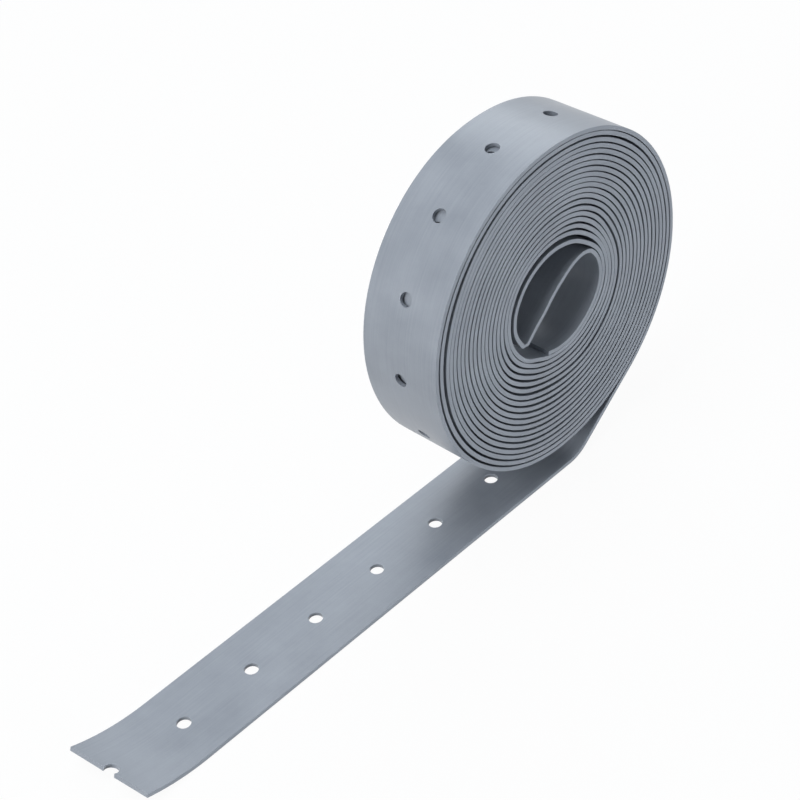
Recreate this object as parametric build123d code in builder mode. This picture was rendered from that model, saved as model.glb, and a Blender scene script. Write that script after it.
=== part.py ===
from build123d import *
from math import cos, radians, sin
import os

# Perforated plastic hanger strap, wound into a loose roll that stands on its rim with its outer end run out.
# X is the roll's axis and the strap's width, Y runs along the outer end and Z is up. The origin is on the floor, at
# the middle of the footprint. Looking along -X, the strap winds outwards clockwise. Millimetres and degrees.

# Flat strap
strap_width = 19.05
strap_thickness = 0.9
hole_diameter = 2.9
hole_pitch = 17.4

# Winding: whole turns, and the gaps on the side where they lie close and on the side where they lie slack
bore_diameter = 24.3
turns = 19
close_gap = 0.28
slack_gap = 0.38
lean = 17
groove_depth = 0.6

# Outer end: leaves the roll at the back, drops to the floor and runs forward under it. Its tip is cut out of square,
# a little off the middle of a hole.
roll_lift = 6
leave_angle = 36.5
bend_radius = 8.5
tail_reach = 118.9
curl_radius = 45
curl_angle = 22
tip_skew = 2.6
tip_cut = 0.7

# Inner end: folded across the bore in an S, with its last stretch lying along the wall
fold_start = 200
fold_grip = 10
fold_radius = 1.5
fold_turn = 111
middle_run = 15.5
high_radius = 7
high_turn = 86
flap_end = 253

strap_half = strap_thickness / 2
bore_radius = bore_diameter / 2
close_step = strap_thickness + close_gap
slack_step = strap_thickness + slack_gap
groove_width = (close_gap + slack_gap) / 2


def close_side(turn):
    """Distance from the bore's centre to the middle of a turn, on the close side."""
    return bore_radius + strap_half + turn * close_step


def slack_side(turn):
    """The same on the slack side, where the folded end lies inside the first turn."""
    return bore_radius + strap_half + close_step + turn * slack_step


def half_turn(near, far):
    """Radius of the half turn between two such distances, and how far its centre lies towards the slack side."""
    return (near + far) / 2, (far - near) / 2


last_radius, last_shift = half_turn(close_side(turns), slack_side(turns))
left_radius, left_shift = half_turn(close_side(turns), slack_side(turns - 1))
right_radius, right_shift = half_turn(close_side(turns - 1), slack_side(turns - 1))

# Place of the roll, whose close side leans from the top towards the tip by the angle above
close_angle = 90 + lean
close_y = cos(radians(close_angle))
close_z = sin(radians(close_angle))
bore_z = strap_thickness + roll_lift + left_radius + strap_half + left_shift * close_z
back_reach = last_radius + strap_half - last_shift * close_y
bore_y = (tail_reach - back_reach) / 2
bore_centre = (bore_y, bore_z)


def centre(shift):
    """Centre of a half turn, as (y, z)."""
    return (bore_y - shift * close_y, bore_z - shift * close_z)


# Outer end's run: from the roll down a slope, round a bend on to the floor, and to the curl at the tip
last_y, last_z = centre(last_shift)
leave_sin = sin(radians(leave_angle))
leave_cos = cos(radians(leave_angle))
slope_drop = last_z - last_radius * leave_cos - strap_half - bend_radius * (1 - leave_cos)
slope_run = slope_drop / leave_sin
floor_start = last_y + (last_radius - bend_radius) * leave_sin - slope_run * leave_cos
floor_end = bore_y - tail_reach + (curl_radius + strap_half) * sin(radians(curl_angle))


def strap_run(shift):
    """Outer end and last half turn, from the tip to the close side, moved from the strap's middle to the inside."""
    curl = CenterArc((floor_end, strap_half + curl_radius), curl_radius - shift, -90 - curl_angle, curl_angle)
    Line((floor_end, strap_half + shift), (floor_start, strap_half + shift))
    bend = CenterArc((floor_start, strap_half + bend_radius), bend_radius - shift, -90, leave_angle)
    last = CenterArc(centre(last_shift), last_radius - shift, leave_angle - 90, 180 + lean - leave_angle)
    Line(bend @ 1, last @ 0)
    return curl @ 0, last @ 1


# Middle of the strap over the outer end and the outermost turn, for the holes
with BuildLine(Plane.YZ) as strap_middle:
    strap_run(0)
    CenterArc(centre(left_shift), left_radius, close_angle, 180)

first_hole = tip_skew / 2 + tip_cut
hole_count = int((strap_middle.wire().length - first_hole) / hole_pitch) + 1
hole_depth = strap_half + close_gap


def hole_plane(number):
    """Plane in the middle of the strap at a hole, counted from the tip, which is cut through the first one."""
    middle = strap_middle.wire()
    distance = first_hole + number * hole_pitch
    along = middle.tangent_at(distance, PositionMode.LENGTH)
    place = middle.position_at(distance, PositionMode.LENGTH)
    return Plane(place, x_dir=along, z_dir=Vector(1, 0, 0).cross(along))


# Gap between the turns as a groove in one end, one half turn at a time, each turned about its own centre
close_dir = Vector(0, close_y, close_z)
section_plane = Plane((0, *bore_centre), x_dir=close_dir, z_dir=close_dir.cross(Vector(1, 0, 0)))


def gap_middle(half):
    """Distance from the bore's centre to the middle of the gap where a half turn of it starts."""
    turn = half / 2 + 0.5
    return close_side(turn) if half % 2 == 0 else slack_side(turn - 0.5)


with BuildPart() as turn_groove:
    for half in range(2 * turns - 2):
        side = 1 if half % 2 == 0 else -1
        start = side * gap_middle(half)
        with BuildSketch(section_plane):
            with BuildLine():
                Polyline(
                    (start - groove_width / 2, strap_width / 2),
                    (start, strap_width / 2 - groove_depth),
                    (start + groove_width / 2, strap_width / 2),
                    close=True,
                )
            make_face()
        shift = side * (gap_middle(half + 1) - gap_middle(half)) / 2
        revolve(axis=Axis((0, *centre(shift)), (-1, 0, 0)), revolution_arc=180)

with BuildPart() as hanger_strap:
    # Roll with the outer end, the last half turn standing off it, and the bore
    with BuildSketch(Plane.YZ):
        with BuildLine():
            outer_tip, outer_top = strap_run(-strap_half)
            CenterArc(centre(left_shift), left_radius + strap_half, close_angle, 180)
            right = CenterArc(centre(right_shift), right_radius + strap_half, close_angle - 180, 180)
            inner_tip, inner_top = strap_run(strap_half)
            Line(right @ 1, inner_top)
            Line(outer_tip, inner_tip)
        make_face()
        with Locations(bore_centre):
            Circle(bore_radius, mode=Mode.SUBTRACT)
    extrude(amount=strap_width / 2, both=True)

    # Tip cut out of square, the side at +X being the shorter
    with BuildSketch(Plane.XY):
        with BuildLine():
            tip_y = bore_y - tail_reach
            Polyline(
                (-strap_width / 2, tip_y),
                (strap_width / 2, tip_y),
                (strap_width / 2, tip_y + tip_skew),
                close=True,
            )
        make_face()
    extrude(amount=curl_radius, mode=Mode.SUBTRACT)

    # Step in the bore's wall between the fold and the flap's end
    with BuildSketch(Plane.YZ):
        with BuildLine():
            wall = CenterArc(bore_centre, bore_radius + strap_thickness, fold_start, flap_end - fold_start)
            Line(bore_centre, wall @ 0)
            Line(wall @ 1, bore_centre)
        make_face()
    extrude(amount=strap_width / 2, both=True, mode=Mode.SUBTRACT)

    # Fold across the bore
    with BuildSketch(Plane.YZ):
        with BuildLine():
            start = CenterArc(bore_centre, bore_radius + strap_half, fold_start - fold_grip, fold_grip)
            turn = JernArc(start @ 1, start % 1, fold_radius, fold_turn)
            middle = Line(turn @ 1, (turn @ 1) + (turn % 1) * middle_run)
            JernArc(middle @ 1, middle % 1, high_radius, -high_turn)
            offset(amount=strap_half)
        make_face()
    extrude(amount=strap_width / 2, both=True)

    # The spiral gap between the turns shows as a groove on both ends
    add(turn_groove.part, mode=Mode.SUBTRACT)
    add(mirror(turn_groove.part, about=Plane.YZ, mode=Mode.PRIVATE), mode=Mode.SUBTRACT)

    # Punched holes: right through the outer end, one thickness deep round the outermost turn
    for number in range(hole_count):
        with BuildSketch(hole_plane(number)):
            Circle(hole_diameter / 2)
        extrude(amount=hole_depth, both=True, mode=Mode.SUBTRACT)

hanger_strap.part.label = "hanger_strap"

os.makedirs("parts", exist_ok=True)
export_step(hanger_strap.part, "parts/hanger_strap.step")
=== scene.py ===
# Perforated plastic hanger strap in a loose roll: one continuous strip, wound in a true spiral from the
# folded end in the bore out to the run-out end on the floor. The strap is drawn in millimetres, which turn
# into metres in the mesh. The floor and the lamps are in metres.

from math import asin, atan2, cos, pi, radians, sin, sqrt

import bpy
import numpy as np
from mathutils import Matrix, Vector


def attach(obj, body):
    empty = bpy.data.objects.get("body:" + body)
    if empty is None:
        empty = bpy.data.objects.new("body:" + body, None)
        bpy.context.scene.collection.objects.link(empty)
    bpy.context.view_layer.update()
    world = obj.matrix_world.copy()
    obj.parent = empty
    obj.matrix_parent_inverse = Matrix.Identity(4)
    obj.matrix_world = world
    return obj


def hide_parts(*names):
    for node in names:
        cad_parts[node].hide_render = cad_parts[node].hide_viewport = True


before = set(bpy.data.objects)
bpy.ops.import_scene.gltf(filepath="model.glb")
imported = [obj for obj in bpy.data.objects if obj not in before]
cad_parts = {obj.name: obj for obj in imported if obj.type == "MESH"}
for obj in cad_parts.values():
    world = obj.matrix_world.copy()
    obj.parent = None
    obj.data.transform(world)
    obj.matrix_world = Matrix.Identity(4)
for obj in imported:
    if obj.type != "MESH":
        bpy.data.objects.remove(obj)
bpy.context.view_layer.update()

MILLIMETRE = 0.001

# Flat strap
strap_width = 19.05
strap_thickness = 0.9
strap_half = strap_thickness / 2
side_play = 0.02
side = strap_width / 2 - side_play
edge_round = 0.08
hole_radius = 1.45
hole_pitch = 17.4
tip_skew = 2.6
tip_cut = 0.7
first_hole = tip_skew / 2 + tip_cut

# Winding, with the sizes of the solid. The turns lie closer on one side of the bore, which leans from the top
# towards the tip, than on the other.
bore_radius = 12.15
turns = 19
close_gap = 0.28
slack_gap = 0.38
lean = 17
close_angle = 90 + lean
close_step = strap_thickness + close_gap
slack_step = strap_thickness + slack_gap

# Place of the roll and of its run-out end
roll_lift = 6
leave_angle = 36.5
bend_radius = 8.5
tail_reach = 118.9
curl_radius = 45
curl_angle = 22

# How far the turns lie outside their places in an even spiral: a row for each angle, a column for each turn
uneven_turns = (1, 3, 4.3, 5.4, 7, 9, 12, 15, 17, 18, 19)
uneven = {
    30: (0.62, 0.15, -0.02, 0.22, 0.20, 0.21, 0.25, 0.27, 0.18, 0.22, 0.10),
    48: (0.30, 0.43, 0.45, 0.60, 0.55, 0.45, 0.26, 0.14, 0.12, 0.30, 0.18),
    66: (0.45, 0.82, 0.80, 0.80, 0.95, 0.75, 0.42, 0.30, 0.28, 0.42, 0.18),
    90: (0.70, 0.75, 0.70, 0.70, 0.75, 0.70, 0.40, 0.22, -0.06, 0.12, -0.06),
    110: (0.85, 0.65, 0.60, 0.56, 0.60, 0.60, 0.35, 0.18, -0.12, 0.12, 0.00),
    160: (0.95, 0.60, 0.42, 0.30, 0.20, 0.00, -0.15, -0.45, -0.95, -0.30, -0.40),
    212: (-0.42, -0.33, -0.20, -0.20, -0.28, -0.46, -0.68, -0.70, -0.85, -0.62, -0.50),
    233: (-1.15, -1.30, -1.10, -0.78, -0.55, -0.50, -0.45, -0.35, -0.38, -0.30, -0.20),
    254: (-1.50, -1.52, -1.55, -1.35, -0.90, -0.47, -0.07, 0.31, 0.30, 0.30, 0.20),
    300: (-0.90, -0.80, -0.75, -0.20, -0.15, -0.10, 0.00, 0.15, 0.15, 0.15, 0.00),
    350: (1.00, 0.55, 0.25, 0.60, 0.35, 0.20, 0.15, 0.10, 0.05, 0.00, -0.02),
}
uneven_angles = np.array(list(uneven), float)
uneven_rows = np.array(list(uneven.values()))

# Small waves from turn to turn as (height, rate, phase), which fade out over the outermost turns
turn_waves = ((0.025, 2.1, 0.4), (0.02, 5.3, 1.9), (0.015, 9.7, 0))
wave_end = turns - 0.5
wave_fade = 1.5

# The spiral runs inwards down to this turn. The first turn follows, from its outer end to the fold, as
# (distance from the bore's centre, angle).
spiral_start = 0.9
first_turn = [
    (14.72, 162), (14.4, 184), (13.87, 202), (13.25, 222), (12.45, 240), (12.45, 253), (12.56, 268),
    (12.92, 290), (13.25, 312), (13.98, 333), (14.44, 350), (14.42, 364), (14.2, 377), (13.72, 387),
    (13.0, 401), (12.62, 424), (12.5, 447), (12.5, 467), (12.6, 490), (12.8, 512), (12.88, 527),
    (12.62, 544), (11.67, 564),
]
# The fold: round a tight turn, across the bore and on to the wall, as (y, z) from the bore's centre
fold = [
    (-10.1, -5.3), (-9.06, -4.86), (-6.8, -2.77), (-3.94, -0.55), (-1.05, 2.14), (2.13, 4.42), (5.29, 6.23),
    (8.42, 6.87), (10.5, 6.35), (11.35, 5.6),
]
# The flap against the inside of the first turn, given as that turn is
flap = [
    (13.12, 17), (13.48, 4), (13.5, -10), (13.0, -27), (12.3, -48), (11.97, -70), (11.62, -92),
    (11.48, -107),
]

# How finely the line is drawn. The smooth curve through the inner end takes its first direction from the
# spiral's last points, of this number.
spiral_count = 9000
direction_count = 12
curve_steps = 24
arc_step = 0.4
line_step = 0.1
kink_rounding = 0.5
same_place = 1e-4


def polar(centre, radius, angle):
    """Point at an angle in degrees on a circle, as (y, z)."""
    return centre[0] + radius * cos(radians(angle)), centre[1] + radius * sin(radians(angle))


def close_side(turn):
    """Distance from the bore's centre to the middle of a turn in the even spiral, on the close side."""
    return bore_radius + strap_half + turn * close_step


def slack_side(turn):
    """The same on the slack side."""
    return bore_radius + strap_half + close_step + turn * slack_step


def half_turn(near, far):
    """Radius of the half turn between two such distances, and how far its centre lies off the bore's."""
    return (near + far) / 2, (far - near) / 2


last_radius, last_shift = half_turn(close_side(turns), slack_side(turns))
left_radius, left_shift = half_turn(close_side(turns), slack_side(turns - 1))
close_y = cos(radians(close_angle))
close_z = sin(radians(close_angle))
bore_z = strap_thickness + roll_lift + left_radius + strap_half + left_shift * close_z
bore_y = (tail_reach - (last_radius + strap_half - last_shift * close_y)) / 2
bore = (bore_y, bore_z)
last_centre = (bore_y - last_shift * close_y, bore_z - last_shift * close_z)
leave_sin = sin(radians(leave_angle))
leave_cos = cos(radians(leave_angle))
slope_drop = last_centre[1] - last_radius * leave_cos - strap_half - bend_radius * (1 - leave_cos)
slope_run = slope_drop / leave_sin
floor_start = last_centre[0] + (last_radius - bend_radius) * leave_sin - slope_run * leave_cos
floor_end = bore_y - tail_reach + (curl_radius + strap_half) * sin(radians(curl_angle))


# Middle of the strap as one line, from the tip to the folded inner end

def cubic(share, span, values, slopes, i):
    """Value at a share of the way from value i to the next one, on a smooth curve with these slopes."""
    left = 1 - share
    return ((1 + 2 * share) * left**2 * values[i] + share * left**2 * span * slopes[i]
            + share**2 * (3 - 2 * share) * values[i + 1] - share**2 * left * span * slopes[i + 1])


def unevenness(turn, angle):
    """How far a turn lies outside its place there, on a smooth curve round the circle."""
    values = [np.interp(turn, uneven_turns, row) for row in uneven_rows]
    at = np.concatenate([uneven_angles[-2:] - 360, uneven_angles, uneven_angles[:2] + 360])
    values = np.concatenate([values[-2:], values, values[:2]])
    angle %= 360
    i = int(np.searchsorted(at, angle, "right")) - 1
    span = at[i + 1] - at[i]
    shift = cubic((angle - at[i]) / span, span, values, np.gradient(values, at), i)
    fade = min(1, max(0, (wave_end - turn) / wave_fade))
    return shift + fade * sum(height * sin(rate * turn + phase) for height, rate, phase in turn_waves)


def winding(turn):
    """Point on the middle of the strap after that many turns outwards from the close side, as (y, z)."""
    angle = close_angle - 360 * turn
    middle = bore_radius + strap_half + close_step * turn
    spread = (0.5 * close_step + (turn - 0.5) * (slack_step - close_step)) / 2
    off = radians(angle - close_angle)
    reach = sqrt((middle + spread) ** 2 - (spread * sin(off)) ** 2) - spread * cos(off)
    return polar(bore, reach + unevenness(turn, angle), angle)


def arc(centre, radius, start, sweep):
    count = max(2, int(abs(radians(sweep)) * radius / arc_step))
    return [polar(centre, radius, start + sweep * i / count) for i in range(count + 1)]


def stretches(points):
    """Lengths of the stretches between points."""
    return np.hypot(*np.diff(points, axis=0).T)


def running_sum(lengths):
    return np.concatenate([[0], np.cumsum(lengths)])


def read_off(rows, along, at):
    """Rows that are given at lengths along a line, read off at other lengths along it."""
    return np.stack([np.interp(at, along, column) for column in rows.T], 1)


def smooth_through(points):
    """Points of a smooth curve through these, which leaves the first one out."""
    p = np.array(points, float)
    t = running_sum(stretches(p) ** 0.5)
    slopes = np.gradient(p, t, axis=0)
    out = []
    for i in range(1, len(p) - 1):
        shares = [step / curve_steps for step in range(curve_steps)]
        out += [tuple(cubic(share, t[i + 1] - t[i], p, slopes, i)) for share in shares]
    return out + [tuple(p[-1])]


def line_middle():
    points = arc((floor_end, strap_half + curl_radius), curl_radius, -90 - curl_angle, curl_angle)
    points += arc((floor_start, strap_half + bend_radius), bend_radius, -90, leave_angle)
    spiral_end = turns + (close_angle - (leave_angle - 90)) / 360
    steps = [i / spiral_count for i in range(spiral_count + 1)]
    spiral = [winding(spiral_end + (spiral_start - spiral_end) * step) for step in steps]
    inner = [polar(bore, *place) for place in first_turn]
    inner += [(bore_y + y, bore_z + z) for y, z in fold]
    inner += [polar(bore, *place) for place in flap]
    return points + spiral + smooth_through([spiral[-direction_count], spiral[-1]] + inner)


def even_line(points):
    """The same line with points a step apart, its kinks rounded."""
    p = np.array(points, float)
    p = p[np.concatenate([[True], stretches(p) > same_place])]
    along = running_sum(stretches(p))
    q = read_off(p, along, np.arange(0, along[-1], line_step))
    reach = int(kink_rounding / line_step)
    window = np.hanning(2 * reach + 3)[1:-1]
    window /= window.sum()
    padded = np.concatenate([2 * q[:1] - q[reach:0:-1], q, 2 * q[-1:] - q[-2:-reach - 2:-1]])
    return np.stack([np.convolve(column, window, "valid") for column in padded.T], 1)


line = even_line(line_middle())
line_along = running_sum(stretches(line))
strap_length = float(line_along[-1])
line_tangent = np.gradient(line, line_along, axis=0)
line_tangent /= np.hypot(*line_tangent.T)[:, None]


# Flat strip, built in its own frame: across it, along it from the tip, and up from its middle

# Corners that fall on the same step, of this many to a millimetre, are one vertex
merge_steps = 5000
places = []
index_of = {}
faces = []
corner_normals = []


def vertex(corner):
    key = tuple(round(value * merge_steps) for value in corner[:3])
    if key not in index_of:
        index_of[key] = len(places)
        places.append(corner[:3])
    return index_of[key]


def face(corners):
    """Adds a face, turned the way its corners' normals point. A corner is (across, along, up, normal)."""
    found = {}
    for corner in corners:
        found.setdefault(vertex(corner), corner)
    if len(found) < 3:
        return
    ring = [Vector(corner[:3]) for corner in found.values()]
    out = sum((ring[i - 1].cross(ring[i]) for i in range(len(ring))), Vector())
    flip = out.dot(sum((Vector(corner[3]) for corner in found.values()), Vector())) < 0
    order = list(found)[::-1] if flip else list(found)
    faces.append(order)
    corner_normals.extend(found[index][3] for index in order)


def strip(first, second):
    """Quads between two rows of corners of the same length."""
    for i in range(len(first) - 1):
        face([first[i], first[i + 1], second[i + 1], second[i]])


# Steps round an edge, as (how far in from it, how far below the face, normal's shares outwards and upwards)
DIAGONAL = sqrt(0.5)
round_in = edge_round * (1 - DIAGONAL)
edge_steps = [(edge_round, 0, 0, 1), (round_in, round_in, DIAGONAL, DIAGONAL), (0, edge_round, 1, 0)]
# The same from the inner face down to the outer one, each with the way that it faces
both_faces = [(step, 1) for step in edge_steps] + [(step, -1) for step in edge_steps[::-1]]

# Places of the columns of corners across the strap. Each hole stands in a square of twice this width.
square = 2.5
inner_stations = [-square, -square / 2, 0, square / 2, square]
outer_left = [edge_round - side, -square]
outer_right = [square, side - edge_round]
all_stations = outer_left[:1] + inner_stations + outer_right[1:]


def long_edge(column, way):
    """Corners round one long edge of the strap. A column gives the place along it for a place across."""
    corners = []
    for (inset, drop, outwards, upwards), up in both_faces:
        across = way * (side - inset)
        corners.append((across, column(across), up * (strap_half - drop), (way * outwards, 0, up * upwards)))
    return corners


def rim(spoke):
    """Corners round a hole's rim and down its wall at a spoke, given by its place and its way outwards."""
    across, along, out_x, out_y = spoke
    corners = []
    for (inset, drop, outwards, upwards), up in both_faces:
        corners.append((across + out_x * inset, along + out_y * inset, up * (strap_half - drop),
                        (-out_x * outwards, -out_y * outwards, up * upwards)))
    return corners


def plate(first, second, stations):
    """Inner and outer face between two columns, over these stations across."""
    for up in (1, -1):
        height = up * strap_half
        strip(*([(x, column(x), height, (0, 0, up)) for x in stations] for column in (first, second)))


def long_edges(first, second):
    for way in (1, -1):
        strip(long_edge(first, way), long_edge(second, way))


def beside_hole(first, second):
    """Strap between two columns, apart from the square round the hole."""
    plate(first, second, outer_left)
    plate(first, second, outer_right)
    long_edges(first, second)


def straight(along):
    """Column that lies square across the strap."""
    return lambda across: along


def ring(outline, spokes):
    """Both faces between a hole's rim and the outline round it, and the hole's wall."""
    rims = [rim(spoke) for spoke in spokes]
    for i in range(len(outline) - 1):
        for up, end in ((1, 0), (-1, -1)):
            outer = [(x, y, up * strap_half, (0, 0, up)) for x, y in outline[i:i + 2]]
            face(outer + [rims[i + 1][end], rims[i][end]])
        strip(rims[i], rims[i + 1])


def spokes_of(middle, first, sweep, count):
    """Places on a hole's wall with their ways outwards, turned by angles in radians."""
    turned = [first + sweep * i / count for i in range(count + 1)]
    return [(hole_radius * sin(t), middle + hole_radius * cos(t), sin(t), cos(t)) for t in turned]


def plain_stretch(start, end, columns):
    for i in range(columns):
        pair = [straight(start + (end - start) * (i + k) / columns) for k in (0, 1)]
        plate(*pair, all_stations)
        long_edges(*pair)


def hole_cell(middle, columns):
    """Square stretch of the strap round a hole."""
    steps = [middle + square * (2 * i / columns - 1) for i in range(columns + 1)]
    for a, b in zip(steps, steps[1:]):
        beside_hole(straight(a), straight(b))
    outline = [(x, steps[-1]) for x in inner_stations[:-1]] + [(square, y) for y in steps[:0:-1]]
    outline += [(x, steps[0]) for x in inner_stations[:0:-1]] + [(-square, y) for y in steps]
    ring(outline, spokes_of(middle, -pi / 4, 2 * pi, len(outline) - 1))


def cut_line(across):
    """Where the strap's tip is cut, a little out of square."""
    return tip_skew * (0.5 + across / strap_width)


def tip_cell(end, count):
    """Strap from its tip, whose cut runs through one hole, over that many columns to a straight one."""

    def column(i):
        return lambda across: cut_line(across) + (end - cut_line(across)) * i / count

    for i in range(count):
        beside_hole(column(i), column(i + 1))
    outline = [(-square, column(i)(-square)) for i in range(count)] + [(x, end) for x in inner_stations]
    outline += [(square, column(i)(square)) for i in range(count - 1, -1, -1)]
    cut_turn = atan2(tip_skew, strap_width)
    beyond = asin(tip_cut * cos(cut_turn) / hole_radius)
    spokes = spokes_of(first_hole, -pi / 2 - cut_turn - beyond, pi + 2 * beyond, len(outline) - 1)
    ring(outline, spokes)
    # The cut itself, on each side of its hole
    normal = (sin(cut_turn), -cos(cut_turn), 0)
    for way, spoke in ((-1, spokes[0]), (1, spokes[-1])):
        edge = long_edge(cut_line, way)
        near = [(way * square, cut_line(way * square), up * strap_half) for up in (1, -1)]
        for loop in (edge, [edge[0], edge[-1], near[1], near[0]], near[::-1] + rim(spoke)):
            face([corner[:3] + (normal,) for corner in loop])


def square_end(along):
    """Square cut of the inner end."""
    strip(*([(x, along, up * strap_half, (0, 1, 0)) for x in all_stations] for up in (1, -1)))
    for way in (1, -1):
        face([corner[:3] + ((0, 1, 0),) for corner in long_edge(straight(along), way)])


column_step = 1.4
tip_columns = 3
tip_margin = 1
first_column = first_hole + hole_radius + tip_margin
hole_count = int((strap_length - square - column_step - first_hole) / hole_pitch)
# The holes that show, counted from either end, have more columns than the hidden ones
outer_holes = 26
inner_holes = 4
shown_columns = 6
hidden_columns = 4
# The holes on the roll's front lie a little nearer the tip, which is taken up over the holes before them
roll_hole_shift = 3.3
shift_from = 10
shift_over = 6

tip_cell(first_column, tip_columns)
reached = first_column
for number in range(1, hole_count + 1):
    shift = roll_hole_shift * min(1, max(0, (number - shift_from) / shift_over))
    middle = first_hole + number * hole_pitch - shift
    plain_stretch(reached, middle - square, round((middle - square - reached) / column_step))
    shows = number <= outer_holes or number > hole_count - inner_holes
    hole_cell(middle, shown_columns if shows else hidden_columns)
    reached = middle + square
plain_stretch(reached, strap_length, round((strap_length - reached) / column_step) + 1)
square_end(strap_length)


# Wind the flat strip on to its line. On the roll it wanders a little sideways, within its side play, in two
# waves as (share, length, phase), so that its turns aren't quite flush.

wander_start = 150
wander_fade = 60
wander_waves = ((0.6, 61, 0), (0.4, 23, 1))


def wander(along):
    fade = np.clip((along - wander_start) / wander_fade, 0, 1)
    sway = sum(share * np.sin(along / length + phase) for share, length, phase in wander_waves)
    return fade * side_play * sway


flat = np.array(places)
along = flat[:, 1]
middle = read_off(line, line_along, along)
tangent = read_off(line_tangent, line_along, along)
tangent /= np.hypot(*tangent.T)[:, None]
normal = np.stack([-tangent[:, 1], tangent[:, 0]], 1)
wound = np.column_stack([flat[:, 0] + wander(along), middle + normal * flat[:, 2:3]]) * MILLIMETRE

mesh = bpy.data.meshes.new("hanger_strap_strip")
mesh.from_pydata(wound.tolist(), [], faces)
mesh.polygons.foreach_set("use_smooth", [True] * len(mesh.polygons))
loop_vertex = np.concatenate([np.array(f) for f in faces])
turned = np.array(corner_normals, float)
turned[:, 1:] = turned[:, 1:2] * tangent[loop_vertex] + turned[:, 2:3] * normal[loop_vertex]
mesh.normals_split_custom_set(turned.tolist())
flat_map = mesh.uv_layers.new(name="strap_flat")
flat_map.data.foreach_set("uv", (flat[loop_vertex][:, 1::-1] * MILLIMETRE).ravel())
mesh.update()
strap = bpy.data.objects.new("wound_strap", mesh)
bpy.context.scene.collection.objects.link(strap)


# Plastic: satin bluish grey with fine drawn streaks along the strap and faint blotches

def node(tree, kind, **values):
    """Adds a node. A value sets the property of that name, or else the input of that name."""
    made = tree.nodes.new(kind)
    for name, value in values.items():
        if hasattr(made, name):
            setattr(made, name, value)
        else:
            made.inputs[name.replace("_", " ")].default_value = value
    return made


def noise(tree, space, scale, detail, roughness):
    made = node(tree, "ShaderNodeTexNoise", Scale=scale, Detail=detail, Roughness=roughness)
    tree.links.new(space, made.inputs["Vector"])
    return made.outputs["Fac"]


def blend(tree, share, first, second):
    """Mix of two values with that share of the second."""
    made = node(tree, "ShaderNodeMix", data_type="FLOAT")
    made.inputs[0].default_value = share
    tree.links.new(first, made.inputs[2])
    tree.links.new(second, made.inputs[3])
    return made.outputs[0]


streak_scale = (60, 2600, 1)
dark_grey = (0.238, 0.262, 0.300, 1)
light_grey = (0.322, 0.346, 0.386, 1)
noise_low = 0.3
noise_high = 0.7
smoothest = 0.30
roughest = 0.44
streak_share = 0.35
grain_share = 0.4
relief_strength = 0.12
relief_depth = 0.0002


def plastic_material():
    material = bpy.data.materials.new("satin_grey_plastic")
    material.use_nodes = True
    tree = material.node_tree
    link = tree.links.new
    shader = tree.nodes["Principled BSDF"]
    # Streaks are noise drawn out along the strap, blotches a broad clouding
    flat_place = node(tree, "ShaderNodeUVMap", uv_map="strap_flat")
    streak_space = node(tree, "ShaderNodeMapping", Scale=streak_scale)
    link(flat_place.outputs["UV"], streak_space.inputs["Vector"])
    streaks = noise(tree, streak_space.outputs["Vector"], scale=1, detail=3, roughness=0.6)
    solid_place = node(tree, "ShaderNodeTexCoord").outputs["Object"]
    blotches = noise(tree, solid_place, scale=95, detail=4, roughness=0.55)
    grain = noise(tree, solid_place, scale=2600, detail=2, roughness=0.5)
    tint = node(tree, "ShaderNodeValToRGB")
    low_end, high_end = tint.color_ramp.elements
    low_end.position, low_end.color = noise_low, dark_grey
    high_end.position, high_end.color = noise_high, light_grey
    link(blend(tree, streak_share, blotches, streaks), tint.inputs["Fac"])
    link(tint.outputs["Color"], shader.inputs["Base Color"])
    rough = node(tree, "ShaderNodeMapRange", From_Min=noise_low, From_Max=noise_high, To_Min=smoothest,
                 To_Max=roughest)
    link(blotches, rough.inputs["Value"])
    link(rough.outputs["Result"], shader.inputs["Roughness"])
    bump = node(tree, "ShaderNodeBump", Strength=relief_strength, Distance=relief_depth)
    link(blend(tree, grain_share, streaks, grain), bump.inputs["Height"])
    link(bump.outputs["Normal"], shader.inputs["Normal"])
    return material


mesh.materials.append(plastic_material())

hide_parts("hanger_strap")
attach(strap, "root")


# Floor, world and lamps

white_strength = 1.04
floor_half = 3.0
floor_grey = (0.50, 0.50, 0.50, 1)
floor_white_share = 0.91
world_white_share = 1.0
world_low = 0.02
world_high = 0.24
world_colour = (0.93, 0.96, 1.0, 1)


def see_as_white(tree, lit, amount, output):
    """Sends a shader to the output, mixed with white where the camera or a glossy surface looks at it."""
    path = node(tree, "ShaderNodeLightPath")
    white = node(tree, "ShaderNodeEmission", Color=(1, 1, 1, 1), Strength=white_strength)
    seen = node(tree, "ShaderNodeMath", operation="MAXIMUM")
    tree.links.new(path.outputs["Is Camera Ray"], seen.inputs[0])
    tree.links.new(path.outputs["Is Glossy Ray"], seen.inputs[1])
    share = node(tree, "ShaderNodeMath", operation="MULTIPLY")
    share.inputs[1].default_value = amount
    tree.links.new(seen.outputs[0], share.inputs[0])
    mix = node(tree, "ShaderNodeMixShader")
    for i, part in enumerate((share, lit, white)):
        tree.links.new(part.outputs[0], mix.inputs[i])
    tree.links.new(mix.outputs[0], node(tree, output).inputs["Surface"])


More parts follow.
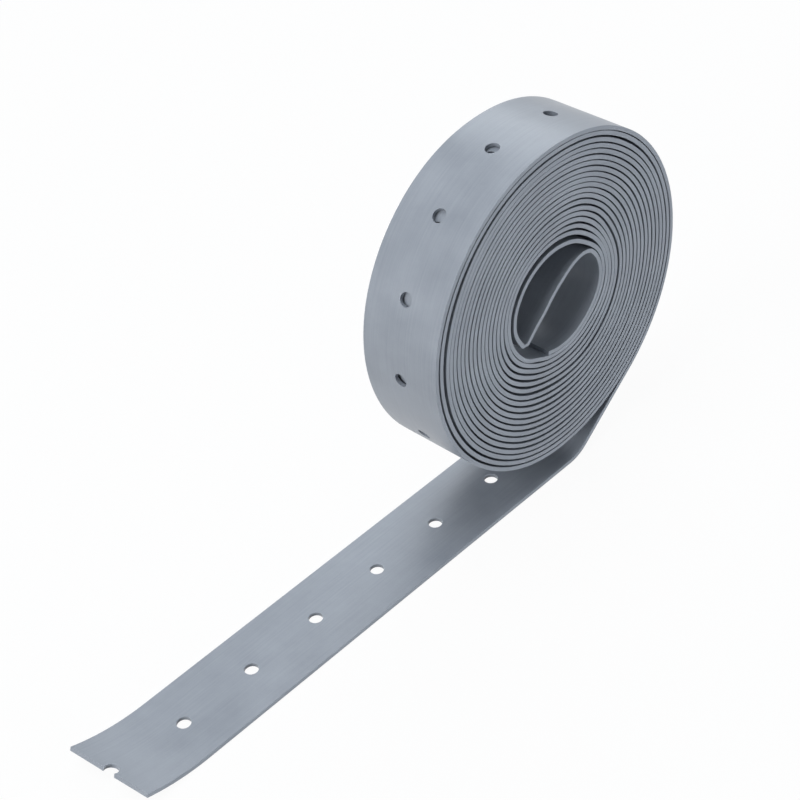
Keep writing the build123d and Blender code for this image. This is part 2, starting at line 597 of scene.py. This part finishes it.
floor_mesh = bpy.data.meshes.new("studio_floor")
floor_corners = [(-1, -1), (1, -1), (1, 1), (-1, 1)]
floor_mesh.from_pydata([(x * floor_half, y * floor_half, 0) for x, y in floor_corners], [], [(0, 1, 2, 3)])
floor = bpy.data.objects.new("studio_floor", floor_mesh)
bpy.context.scene.collection.objects.link(floor)
floor_material = bpy.data.materials.new("white_floor")
floor_material.use_nodes = True
floor_tree = floor_material.node_tree
floor_tree.nodes.clear()
floor_lit = node(floor_tree, "ShaderNodeBsdfDiffuse", Color=floor_grey)
see_as_white(floor_tree, floor_lit, floor_white_share, "ShaderNodeOutputMaterial")
floor_mesh.materials.append(floor_material)

# The room is brighter overhead than at the level of the floor
world = bpy.data.worlds.new("studio")
bpy.context.scene.world = world
world.use_nodes = True
world_tree = world.node_tree
world_tree.nodes.clear()
direction = node(world_tree, "ShaderNodeTexCoord")
height = node(world_tree, "ShaderNodeSeparateXYZ")
world_tree.links.new(direction.outputs["Generated"], height.inputs[0])
glow = node(world_tree, "ShaderNodeMapRange", To_Min=world_low, To_Max=world_high)
world_tree.links.new(height.outputs["Z"], glow.inputs["Value"])
room = node(world_tree, "ShaderNodeBackground", Color=world_colour)
world_tree.links.new(glow.outputs["Result"], room.inputs["Strength"])
see_as_white(world_tree, room, world_white_share, "ShaderNodeOutputWorld")


def area_light(name, place, size, power, colour):
    data = bpy.data.lights.new(name, "AREA")
    data.shape = "DISK"
    data.size = size
    data.energy = power
    data.color = colour
    light = bpy.data.objects.new(name, data)
    light.location = place
    aim = Vector((0, bore_y, bore_z)) * MILLIMETRE
    light.rotation_euler = (aim - Vector(place)).to_track_quat("-Z", "Y").to_euler()
    bpy.context.scene.collection.objects.link(light)


# Softboxes above, behind and in front, about square to the roll's axis, and a small one at each end of it
cool = (0.88, 0.94, 1.0)
plain = (0.96, 0.98, 1.0)
area_light("top_light", (-0.08, -0.04, 0.88), size=0.6, power=3.0, colour=cool)
area_light("back_light", (-0.40, 0.60, 0.62), size=0.6, power=2.7, colour=cool)
area_light("high_front_light", (-0.06, -0.72, 0.70), size=0.5, power=2.8, colour=plain)
area_light("front_light", (-0.12, -1.00, 0.20), size=0.5, power=4.7, colour=plain)
area_light("near_end_light", (1.00, 0.04, 0.06), size=0.2, power=5.3, colour=cool)
area_light("far_end_light", (-1.00, 0.04, 0.06), size=0.2, power=2.2, colour=cool)


# Camera, fitted to the photograph

camera_azimuth = 47.501
camera_elevation = 39.047
camera_roll = -6.258
camera_place = Vector((205.92, -224.91 + bore_y, 264.26)) * MILLIMETRE
photo_pixels = 800
focal_pixels = 1866.2
sensor_width = 36

azimuth, elevation, roll = (radians(a) for a in (camera_azimuth, camera_elevation, camera_roll))
back = Vector((sin(azimuth) * cos(elevation), -cos(azimuth) * cos(elevation), sin(elevation)))
level = Vector((cos(azimuth), sin(azimuth), 0))
right = cos(roll) * level + sin(roll) * back.cross(level)
camera_turn = Matrix((right, back.cross(right), back)).transposed().to_4x4()
camera_data = bpy.data.cameras.new("photo_camera")
camera_data.sensor_fit = "HORIZONTAL"
camera_data.sensor_width = sensor_width
camera_data.lens = sensor_width * focal_pixels / photo_pixels
camera_data.clip_start = 0.01
camera = bpy.data.objects.new("photo_camera", camera_data)
camera.matrix_world = Matrix.Translation(camera_place) @ camera_turn
bpy.context.scene.collection.objects.link(camera)
bpy.context.scene.camera = camera
bpy.context.scene.view_settings.view_transform = "Standard"

print("strap length", round(strap_length, 1), "holes", hole_count, "triangles",
      sum(len(p.vertices) - 2 for p in mesh.polygons))
